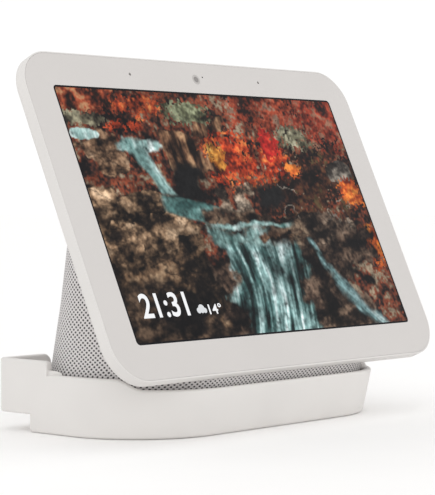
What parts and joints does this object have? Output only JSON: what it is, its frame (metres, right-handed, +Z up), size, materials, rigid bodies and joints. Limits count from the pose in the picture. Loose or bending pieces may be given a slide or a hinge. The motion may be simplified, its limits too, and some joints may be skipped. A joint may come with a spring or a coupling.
{
  "type": "smart display",
  "caption": "Tilted touch display on a fabric-covered loudspeaker base, standing in a scooped plastic holder with rear corner blocks.",
  "frame": {"origin": "under the middle of the object's box, on the surface the holder stands on", "axes": "+Z up, -Y is the front that the screen faces, +X is right for a person who looks at the screen"},
  "size_m": [0.25, 0.1102, 0.1856],
  "materials": {
    "white_shell": "fine matt moulded ASA, warm white",
    "holder_plastic": "satin moulded ABS, warm white",
    "front_glass": "smooth glass, white back-printed border round a clear window",
    "screen": "lit colour LCD",
    "knit_fabric": "light grey open acoustic knit",
    "dark_plastic": "moulded dark grey glass-filled plastic",
    "grey_rubber": "matt silicone",
    "steel": "zinc-plated steel",
    "aluminium": "rolled aluminium sheet",
    "circuit_board": "green solder resist",
    "cone_paper": "black coated paper",
    "polyimide": "amber flexible circuit",
    "lens_glass": "coated dark lens"
  },
  "bodies": {
    "holder": {"holder_tray": "holder_plastic", "holder_pad_left": "grey_rubber", "holder_pad_right": "grey_rubber"},
    "display_unit": {"rear_shell": "white_shell", "front_glass": "front_glass", "glass_gasket": "grey_rubber", "lcd_panel": "screen", "backlight_unit": "aluminium", "mid_frame": "aluminium", "frame_screw_1": "steel", "frame_screw_2": "steel", "frame_screw_3": "steel", "frame_screw_4": "steel", "camera_module": "dark_plastic", "camera_lens": "lens_glass", "camera_ring": "grey_rubber", "camera_led": "lens_glass", "light_sensor": "lens_glass", "microphone_left": "circuit_board", "microphone_right": "circuit_board", "main_board": "circuit_board", "processor_shield": "steel", "wifi_module": "steel", "antenna_left": "polyimide", "antenna_right": "polyimide", "display_flex": "polyimide", "mute_board": "circuit_board", "volume_board": "circuit_board", "neck_bracket": "steel", "base_cable": "polyimide", "base_foot": "grey_rubber", "bottom_cover": "dark_plastic", "cover_screw_1": "steel", "cover_screw_2": "steel", "cover_screw_3": "steel", "cover_screw_4": "steel", "speaker_shell": "dark_plastic", "fabric_sleeve": "knit_fabric", "woofer_basket": "steel", "woofer_surround": "grey_rubber", "woofer_magnet": "steel", "tweeter_left": "cone_paper", "tweeter_right": "cone_paper", "power_socket": "dark_plastic", "inlet_collar": "dark_plastic", "power_board": "circuit_board", "amplifier_heatsink": "aluminium"},
    "mute_switch": {"mute_switch": "white_shell"},
    "volume_rocker": {"volume_rocker": "white_shell"},
    "woofer_cone": {"woofer_cone": "cone_paper"}
  },
  "joints": [
    {"name": "lift_out", "type": "slide", "parent": "holder", "child": "display_unit", "axis": [0, 0, 1], "range_m": [0, 0.06]},
    {"name": "mute_slide", "type": "slide", "parent": "display_unit", "child": "mute_switch", "axis": [1, 0, 0], "range_m": [0, 0.003]},
    {"name": "volume_rock", "type": "hinge", "parent": "display_unit", "child": "volume_rocker", "pos_m": [0.104, 0.0049, 0.1302], "axis": [1, 0, 0], "range_deg": [-2.5, 2.5], "stiffness_Nm_per_rad": 1.5},
    {"name": "cone_stroke", "type": "slide", "parent": "display_unit", "child": "woofer_cone", "axis": [0, 0.9886, 0.1503], "range_m": [-0.002, 0.002], "stiffness_N_per_m": 1500}
  ]
}
